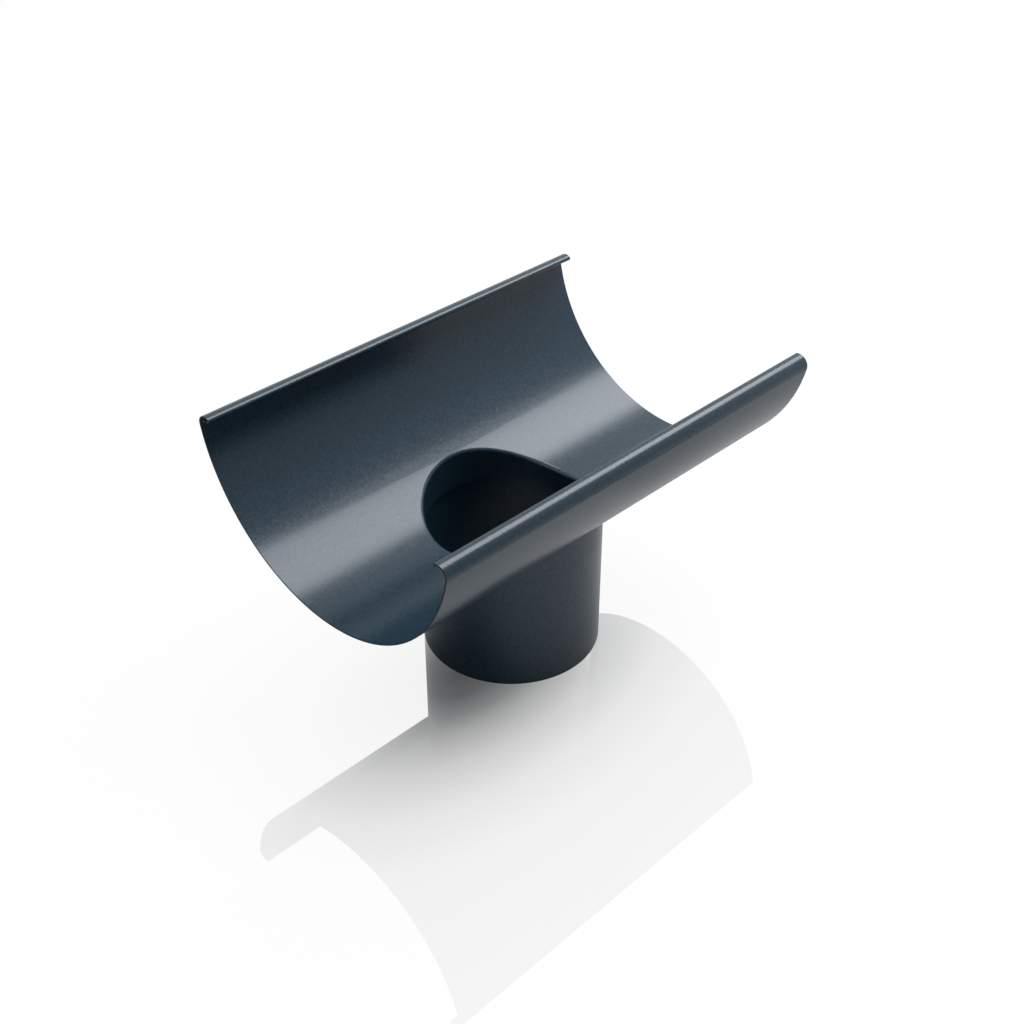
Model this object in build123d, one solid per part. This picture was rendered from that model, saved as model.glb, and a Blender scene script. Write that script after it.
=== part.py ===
from build123d import *
from math import cos, hypot, isclose, radians, sin, sqrt, tan
import os

# Gutter outlet for a half-round gutter: a short trough of rolled sheet with a round outlet
# in its floor, and a straight spigot below it for the downpipe.
# Millimetres. +Z up, the trough runs along X, its front lip is at -Y and its back bead at +Y.
# The origin is the centre of the spigot's lower rim.

# Sheet
sheet = 0.8

# Trough
trough_radius = 76.5
trough_length = 219.0
trough_shift = -0.85

# Front lip: an open roll, then a nose turned down at the edge of the sheet
front_wall_angle = 11.4
front_roll_radius = 5.0
front_roll_angle = 116.4
front_nose_radius = 1.1
front_nose_angle = 115.0

# Back bead: a smaller roll, then a hem folded under it
back_wall_angle = 10.7
back_roll_radius = 4.5
back_roll_angle = 128.0
back_hem_radius = 1.1
back_hem_angle = 147.0
back_hem_length = 3.5

# Spigot, and the collar that stands inside it: above the collar's foot the spigot is drawn in onto it
spigot_radius = 41.9
spigot_drop = 66.6
spigot_draw_angle = 0.8
collar_clearance = 0.5
collar_bend = 1.9
collar_depth = 6.0
joint_clearance = 0.05

outer_radius = trough_radius + sheet
axis_height = spigot_drop + outer_radius
spigot_bore_radius = spigot_radius - sheet
collar_radius = spigot_bore_radius - collar_clearance
outlet_radius = collar_radius - sheet
collar_foot = spigot_drop - collar_depth

# The bend under the trough reaches out over the spigot's top edge, so that edge is cut that much lower
under_bend = collar_bend - sheet
rim_clearance = collar_clearance - collar_depth * tan(radians(spigot_draw_angle))
overhang = max(under_bend - rim_clearance, 0)
joint_gap = joint_clearance + under_bend - sqrt(under_bend ** 2 - overhang ** 2)


def toward(centre, distance, angle):
    """The point at a distance from a centre, at an angle counted from the back, upwards."""
    return (
        centre[0] + distance * cos(radians(angle)),
        centre[1] + distance * sin(radians(angle)),
    )


def section_bends():
    """The bends of the sheet from its front edge round to the back: centre, outer radius, start, sweep.

    Each bend is tangent to the next, so its centre lies on the line to the next bend's centre.
    """
    axis = (trough_shift, axis_height)
    wall_start = 180 + front_wall_angle
    wall_end = 360 - back_wall_angle
    front_roll = toward(axis, outer_radius - front_roll_radius, wall_start)
    roll_start = wall_start - front_roll_angle
    front_nose = toward(front_roll, front_roll_radius - front_nose_radius, roll_start)
    back_roll = toward(axis, outer_radius - back_roll_radius, wall_end)
    roll_end = wall_end + back_roll_angle
    back_hem = toward(back_roll, back_roll_radius - back_hem_radius, roll_end)
    return [
        (front_nose, front_nose_radius, roll_start - front_nose_angle, front_nose_angle),
        (front_roll, front_roll_radius, roll_start, front_roll_angle),
        (axis, outer_radius, wall_start, wall_end - wall_start),
        (back_roll, back_roll_radius, wall_end, back_roll_angle),
        (back_hem, back_hem_radius, roll_end, back_hem_angle),
    ]


def section_skin(depth):
    """The face of the bent sheet at a depth under its outer face: tangent arcs, then the hem's flat."""
    skin = [
        CenterArc(centre, radius - depth, start, sweep)
        for centre, radius, start, sweep in section_bends()
    ]
    hem_end = skin[-1] @ 1
    hem_way = skin[-1] % 1
    return skin + [Line(hem_end, hem_end + back_hem_length * hem_way)]


def trough_sheet():
    """The bent sheet, without its outlet."""
    outer = section_skin(0)
    inner = section_skin(sheet)
    front_edge = Line(outer[0] @ 0, inner[0] @ 0)
    back_edge = Line(outer[-1] @ 1, inner[-1] @ 1)
    section = make_face(Plane.YZ * (Curve() + outer + inner + [front_edge, back_edge]))
    return extrude(section, trough_length / 2, both=True)


def upright(radius, foot=0):
    """A round post about the spigot's axis, from its foot up to the height of the trough's axis."""
    post = Cylinder(radius, axis_height - foot, align=(Align.CENTER, Align.CENTER, Align.MIN))
    return Pos(0, 0, foot) * post


def trough_round(radius):
    """A round bar about the trough's axis."""
    return Pos(0, trough_shift, axis_height) * Rot(0, 90, 0) * Cylinder(radius, trough_length)


def meeting_curves(body, radius):
    """The curves along which the bent sheet meets a post of this radius."""
    def is_on_post(curve):
        start = curve @ 0
        return isclose(hypot(start.X, start.Y), radius, abs_tol=sheet / 4)
    return body.edges().filter_by(GeomType.BSPLINE).filter_by(is_on_post)


def gutter_saddle():
    """The trough, with its outlet drawn down as a collar and the sheet rounded at the outlet's mouth."""
    neck = upright(collar_radius, collar_foot) - trough_round(trough_radius)
    body = trough_sheet() + neck - upright(outlet_radius)
    body = fillet(meeting_curves(body, collar_radius), under_bend)
    return fillet(meeting_curves(body, outlet_radius), collar_bend)


def spigot_wall():
    """Half the section of the uncut spigot: straight up to the collar's foot, then leaning in."""
    drawn_in = (axis_height - collar_foot) * tan(radians(spigot_draw_angle))
    return make_face(Plane.XZ * Polyline(
        (spigot_bore_radius, 0),
        (spigot_radius, 0),
        (spigot_radius, collar_foot),
        (spigot_radius - drawn_in, axis_height),
        (spigot_bore_radius - drawn_in, axis_height),
        (spigot_bore_radius, collar_foot),
        close=True,
    ))


def outlet_spigot():
    """A tube, cut at the top to the round of the trough's underside."""
    return revolve(spigot_wall(), Axis.Z) - trough_round(outer_radius + joint_gap)


os.makedirs("parts", exist_ok=True)
for name, piece in {"gutter_saddle": gutter_saddle(), "outlet_spigot": outlet_spigot()}.items():
    export_step(piece, f"parts/{name}.step")
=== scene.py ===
import math

import bpy
import bmesh
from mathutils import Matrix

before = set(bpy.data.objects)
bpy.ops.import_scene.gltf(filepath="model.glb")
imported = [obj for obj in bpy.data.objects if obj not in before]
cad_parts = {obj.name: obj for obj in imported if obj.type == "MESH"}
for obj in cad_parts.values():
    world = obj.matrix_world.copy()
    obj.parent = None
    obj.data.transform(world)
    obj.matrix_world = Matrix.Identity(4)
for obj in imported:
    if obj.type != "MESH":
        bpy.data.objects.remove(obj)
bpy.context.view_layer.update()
print("frame loaded")


# the camera looks down on the trough from its left front corner

view = {
    "place": (-0.3928, -0.39325, 0.4602),
    "turn": 45,  # degrees round from +X
    "dip": 35.264,  # degrees down
    "lens": 52.45,
    "sensor": 36,
    "nearest": 0.01,
}


def placeCamera(view):
    camera = bpy.data.cameras.new("studioCamera")
    camera.lens = view["lens"]
    camera.sensor_width = view["sensor"]
    camera.clip_start = view["nearest"]
    holder = bpy.data.objects.new("studioCamera", camera)
    bpy.context.collection.objects.link(holder)
    holder.location = view["place"]
    # an unturned camera looks straight down, with +Y at its top
    tilt, turn = 90 - view["dip"], view["turn"] - 90
    holder.rotation_euler = (math.radians(tilt), 0, math.radians(turn))
    bpy.context.scene.camera = holder


placeCamera(view)
print("camera placed")


# nodes, with their first sockets filled in order: outputs are linked, anything else is set

def addNode(tree, kind, *values):
    node = tree.nodes.new("ShaderNode" + kind)
    for socket, value in zip(node.inputs, values):
        if isinstance(value, bpy.types.NodeSocket):
            tree.links.new(value, socket)
        else:
            socket.default_value = value
    return node


def addMath(tree, operation, *values):
    node = addNode(tree, "Math", *values)
    node.operation = operation
    return node.outputs[0]


def addLength(tree, vector):
    node = addNode(tree, "VectorMath", vector)
    node.operation = "LENGTH"
    return node.outputs["Value"]


def addRange(tree, value, fromEnds, toEnds):
    return addNode(tree, "MapRange", value, *fromEnds, *toEnds).outputs["Result"]


def addSwitch(tree, isOn, off, on):
    # off where isOn is 0, and on where it is 1
    return addRange(tree, isOn, (0, 1), (off, on))


def objectPlace(tree):
    return addNode(tree, "TexCoord").outputs["Object"]


def alongTrough(tree, place):
    return addNode(tree, "SeparateXYZ", place).outputs["X"]


def seenRays(tree):
    # 1 where the camera, a gloss or a glass looks, 0 where light bounces
    rays = addNode(tree, "LightPath").outputs
    seen = addMath(tree, "MAXIMUM", rays["Is Camera Ray"], rays["Is Glossy Ray"])
    return addMath(tree, "MAXIMUM", seen, rays["Is Transmission Ray"])


# pieces of the studio, which are left out of the part

def newPaint(name):
    paint = bpy.data.materials.new(name)
    paint.use_nodes = True
    tree = paint.node_tree
    tree.nodes.remove(tree.nodes["Principled BSDF"])
    return paint


def showShader(paint, shader):
    output = paint.node_tree.nodes["Material Output"]
    paint.node_tree.links.new(shader, output.inputs["Surface"])


def stagePiece(name, bm, paint):
    mesh = bpy.data.meshes.new(name)
    bm.to_mesh(mesh)
    bm.free()
    mesh.materials.append(paint)
    piece = bpy.data.objects.new(name, mesh)
    bpy.context.collection.objects.link(piece)
    return piece


def stageDisc(name, radius, segments, height, paint):
    bm = bmesh.new()
    bmesh.ops.create_circle(bm, cap_ends=True, segments=segments, radius=radius)
    bmesh.ops.translate(bm, verts=bm.verts, vec=(0, 0, height))
    return stagePiece(name, bm, paint)


# the lamps: a long softbox overhead to the right, and a faint one that brightens its far end

lamps = {
    "softbox": {"centre": (0.90, 0.02, 1.30), "size": (1.30, 0.84), "radiance": 5.9},
    "hotspot": {"centre": (1.22, -0.02, 1.29), "size": (0.66, 0.80), "radiance": 0.8},
}


def buildLamp(name, lamp):
    light = bpy.data.lights.new(name, "AREA")
    light.shape = "RECTANGLE"
    light.size, light.size_y = lamp["size"]
    # an area lamp's power is its radiance times pi times its area
    light.energy = lamp["radiance"] * math.pi * light.size * light.size_y
    holder = bpy.data.objects.new(name, light)
    bpy.context.collection.objects.link(holder)
    holder.location = lamp["centre"]


for name, lamp in lamps.items():
    buildLamp(name, lamp)
print("lamps hung")


# the room lights dimly and shows white

room = {
    "light": 0.16,  # how bright it lights
    "white": 1.0,  # how bright it shows
    "secondWhite": 0.30,  # how bright a gloss shows it in the floor's mirror
    # the room counts itself as a bounce: in a gloss it is the second, in the mirror the third
    "secondLook": 2.5,
}


def buildRoom(room):
    world = bpy.data.worlds.new("studioRoom")
    world.use_nodes = True
    tree = world.node_tree
    background = tree.nodes["Background"]
    background.inputs["Color"].default_value = (1, 1, 1, 1)
    depth = addNode(tree, "LightPath").outputs["Ray Depth"]
    isSecond = addMath(tree, "GREATER_THAN", depth, room["secondLook"])
    white = addSwitch(tree, isSecond, room["white"], room["secondWhite"])
    strength = addSwitch(tree, seenRays(tree), room["light"], white)
    tree.links.new(strength, background.inputs["Strength"])
    bpy.context.scene.world = world


buildRoom(room)
print("room built")


# a grey flag in front, which the camera doesn't see, keeps the back wall's upper half dark

flag = {
    "side": -1.0,
    "ends": (-0.6, 3.2),
    "height": 2.6,
    # it is brighter to the right: from where to where, and how bright there
    "fade": (0.5, 1.3),
    "strengths": (0.52, 0.90),
}


def flagCloth(flag, room):
    paint = newPaint("flagCloth")
    tree = paint.node_tree
    along = alongTrough(tree, objectPlace(tree))
    grey = addRange(tree, along, flag["fade"], flag["strengths"])
    strength = addSwitch(tree, seenRays(tree), room["light"], grey)
    cloth = addNode(tree, "Emission")
    tree.links.new(strength, cloth.inputs["Strength"])
    showShader(paint, cloth.outputs[0])
    return paint


def buildFlag(flag, room):
    bm = bmesh.new()
    foot = [bm.verts.new((end, flag["side"], 0)) for end in flag["ends"]]
    edge = bm.edges.new(foot)
    raised = bmesh.ops.extrude_edge_only(bm, edges=[edge])["geom"]
    top = [part for part in raised if isinstance(part, bmesh.types.BMVert)]
    bmesh.ops.translate(bm, verts=top, vec=(0, 0, flag["height"]))
    piece = stagePiece("greyFlag", bm, flagCloth(flag, room))
    piece.visible_camera = False


buildFlag(flag, room)
print("flag stood up")


# the floor: white paint that glows, and a polish that only the camera sees; by the spigot the
# paint gives way to the polish, which is a painted shadow round the spigot

floor = {
    "radius": 6.0,
    "segments": 96,
    "colour": (0.80, 0.80, 0.80),
    # how bright the paint glows, how bright a gloss shows it far from the spigot (painted light
    # in the reflections), and over which distances it rises to that
    "glow": 1.04,
    "farPaintedGlow": 1.5,
    "far": (0.25, 0.60),
    # a gloss shows the glow dimmer to the right, a painted shade: from where to where, and what
    # is left of it
    "dim": (0.080, 0.105),
    "paintedShadeLeft": 0.70,
    # share of the real light and shadow, to the camera and to a gloss
    "litShare": 0.06,
    "litShareInGloss": 0.40,
    "polish": 0.01,
    # the tone the polish shows the room at: a painted faint shade by the spigot
    "polishShadedTone": 0.88,
    # the painted shadow's middle, its stretch along the trough and its reach
    "paintedShadowCentre": (-0.039, -0.007, 0),
    "paintedShadowStretch": 1.62,
    "paintedShadowReach": 0.18,
    # share of the reach, and how much of the floor is white paint there: less paint paints the
    # shadow
    "paintedShadowStops": (
        (0.0, 0.06), (0.08, 0.11), (0.14, 0.22), (0.19, 0.38),
        (0.28, 0.61), (0.39, 0.79), (0.53, 0.88), (1.0, 0.91),
    ),
}

# inside the spigot the floor doesn't glow
bareFloor = {
    "radius": 0.041,
    "segments": 64,
    "height": 0.0002,
    "litShare": 0.5,
}


def floorPolish(tree, floor):
    # a painted shade: the polish shows the white room at a grey tone to the camera, and shows
    # black to a gloss
    isCamera = addNode(tree, "LightPath").outputs["Is Camera Ray"]
    tone = addMath(tree, "MULTIPLY", isCamera, floor["polishShadedTone"])
    return addNode(tree, "BsdfGlossy", tone, floor["polish"]).outputs[0]


def floorLit(tree, floor):
    return addNode(tree, "BsdfDiffuse", (*floor["colour"], 1)).outputs[0]


def paintedShadowRing(tree, place, floor):
    # how much of the floor is white paint, by the distance from the painted shadow's middle;
    # near the spigot less paint paints its shadow
    middle = tree.nodes.new("ShaderNodeMapping")
    middle.vector_type = "TEXTURE"
    middle.inputs["Location"].default_value = floor["paintedShadowCentre"]
    middle.inputs["Scale"].default_value = (floor["paintedShadowStretch"], 1, 1)
    tree.links.new(place, middle.inputs["Vector"])
    distance = addLength(tree, middle.outputs[0])
    share = addMath(tree, "DIVIDE", distance, floor["paintedShadowReach"])
    ring = addNode(tree, "ValToRGB", share)
    # the ramp comes with two stops
    stops = ring.color_ramp.elements
    for step, (spot, white) in enumerate(floor["paintedShadowStops"]):
        stop = stops[step] if step < 2 else stops.new(1)
        stop.position = spot
        stop.color = (white, white, white, 1)
    return ring.outputs["Color"]


def floorGlow(tree, place, isCamera, floor):
    # painted light and shade in the reflections: a gloss sees the glow rise far off and dim to
    # the right
    farPaintedGlow = addSwitch(tree, isCamera, floor["farPaintedGlow"], floor["glow"])
    rise = addRange(tree, addLength(tree, place), floor["far"], (floor["glow"], farPaintedGlow))
    dim = addRange(tree, alongTrough(tree, place), floor["dim"], (1, floor["paintedShadeLeft"]))
    dimInGloss = addSwitch(tree, isCamera, dim, 1)
    glow = addNode(tree, "Emission")
    strength = addMath(tree, "MULTIPLY", rise, dimInGloss)
    tree.links.new(strength, glow.inputs["Strength"])
    return glow.outputs[0]


def floorPaint(floor):
    paint = newPaint("floorWithPaintedShadow")
    tree = paint.node_tree
    place = objectPlace(tree)
    isCamera = addNode(tree, "LightPath").outputs["Is Camera Ray"]
    lit = floorLit(tree, floor)
    glow = floorGlow(tree, place, isCamera, floor)
    litShare = addSwitch(tree, isCamera, floor["litShareInGloss"], floor["litShare"])
    white = addNode(tree, "MixShader", litShare, glow, lit).outputs[0]
    # a painted shadow: by the spigot the white paint gives way to the dark polish
    share = paintedShadowRing(tree, place, floor)
    shown = addNode(tree, "MixShader", share, floorPolish(tree, floor), white).outputs[0]
    showShader(paint, addNode(tree, "MixShader", seenRays(tree), lit, shown).outputs[0])
    return paint


def bareFloorPaint(bareFloor, floor):
    paint = newPaint("bareFloor")
    tree = paint.node_tree
    polish, lit = floorPolish(tree, floor), floorLit(tree, floor)
    showShader(paint, addNode(tree, "MixShader", bareFloor["litShare"], polish, lit).outputs[0])
    return paint


stageDisc("studioFloor", floor["radius"], floor["segments"], 0, floorPaint(floor))
stageDisc("bareFloor", bareFloor["radius"], bareFloor["segments"], bareFloor["height"],
          bareFloorPaint(bareFloor, floor))
print("floor laid")


# the coating: satin anthracite powder coat, the same on both pieces

coating = {
    "colour": (0.0190, 0.0490, 0.0770),
    "ior": 1.5,
    "tint": (0.92, 0.95, 1.0),
    "colourDrift": 0.10,
    "driftSize": 22,
    "driftDetail": 3,
    # the grain's noise, the part of its range that counts, and what it changes
    "grainSize": 750,
    "grainDetail": 2,
    "grainEnds": (0.2, 0.8),
    "speckle": 0.20,
    "gloss": 0.50,
    "glossDrift": 0.07,
    "roughness": 0.23,
    "roughnessDrift": 0.05,
    "grainStrength": 0.35,
    "grainDepth": 0.00006,
    # the trough's cut ends, where the sheet shows dark and dull
    "cutEnd": 0.10945,
    "cutColour": (0.010, 0.013, 0.016),
    "cutRoughness": 0.85,
}


def addNoise(tree, place, size, detail):
    noise = tree.nodes.new("ShaderNodeTexNoise")
    noise.inputs["Scale"].default_value = size
    noise.inputs["Detail"].default_value = detail
    tree.links.new(place, noise.inputs["Vector"])
    return noise.outputs["Fac"]


def mixColours(tree, share, first, second):
    node = tree.nodes.new("ShaderNodeMix")
    node.data_type = "RGBA"
    tree.links.new(share, node.inputs[0])
    # the mix node's colours are at sockets 6 and 7
    for socket, colour in zip(node.inputs[6:8], (first, second)):
        if isinstance(colour, bpy.types.NodeSocket):
            tree.links.new(colour, socket)
        else:
            socket.default_value = (*colour, 1)
    return node.outputs[2]


def driftAround(tree, grain, coating, middle, drift):
    return addRange(tree, grain, coating["grainEnds"], (middle - drift, middle + drift))


def coatColour(tree, place, grain, coating):
    # a slow drift over the sheet, and the grain's speckle
    drift = addNoise(tree, place, coating["driftSize"], coating["driftDetail"])
    low, high = 1 - coating["colourDrift"], 1 + coating["colourDrift"]
    darker = [tone * low for tone in coating["colour"]]
    lighter = [tone * high for tone in coating["colour"]]
    speckled = tree.nodes.new("ShaderNodeVectorMath")
    speckled.operation = "SCALE"
    tree.links.new(mixColours(tree, drift, darker, lighter), speckled.inputs[0])
    speckle = driftAround(tree, grain, coating, 1, coating["speckle"])
    tree.links.new(speckle, speckled.inputs["Scale"])
    return speckled.outputs[0]


def powderCoat(coating):
    paint = bpy.data.materials.new("powderCoat")
    paint.use_nodes = True
    tree = paint.node_tree
    shader = tree.nodes["Principled BSDF"].inputs
    shader["IOR"].default_value = coating["ior"]
    shader["Specular Tint"].default_value = (*coating["tint"], 1)
    place = objectPlace(tree)
    grain = addNoise(tree, place, coating["grainSize"], coating["grainDetail"])
    gloss = driftAround(tree, grain, coating, coating["gloss"], coating["glossDrift"])
    tree.links.new(gloss, shader["Specular IOR Level"])

    # the cut ends are darker and duller
    reach = addMath(tree, "ABSOLUTE", alongTrough(tree, place))
    isCut = addMath(tree, "GREATER_THAN", reach, coating["cutEnd"])
    coat = coatColour(tree, place, grain, coating)
    tree.links.new(mixColours(tree, isCut, coat, coating["cutColour"]), shader["Base Color"])
    dullness = tree.nodes.new("ShaderNodeMix")
    tree.links.new(isCut, dullness.inputs[0])
    rough = driftAround(tree, grain, coating, coating["roughness"], coating["roughnessDrift"])
    tree.links.new(rough, dullness.inputs[2])
    dullness.inputs[3].default_value = coating["cutRoughness"]
    tree.links.new(dullness.outputs[0], shader["Roughness"])

    bump = tree.nodes.new("ShaderNodeBump")
    bump.inputs["Strength"].default_value = coating["grainStrength"]
    bump.inputs["Distance"].default_value = coating["grainDepth"]
    tree.links.new(grain, bump.inputs["Height"])
    tree.links.new(bump.outputs["Normal"], shader["Normal"])
    return paint


coat = powderCoat(coating)
for name in ("gutter_saddle", "outlet_spigot"):
    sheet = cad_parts[name]
    sheet.data.materials.clear()
    sheet.data.materials.append(coat)
print("sheet coated")

bpy.context.scene.view_settings.view_transform = "Standard"
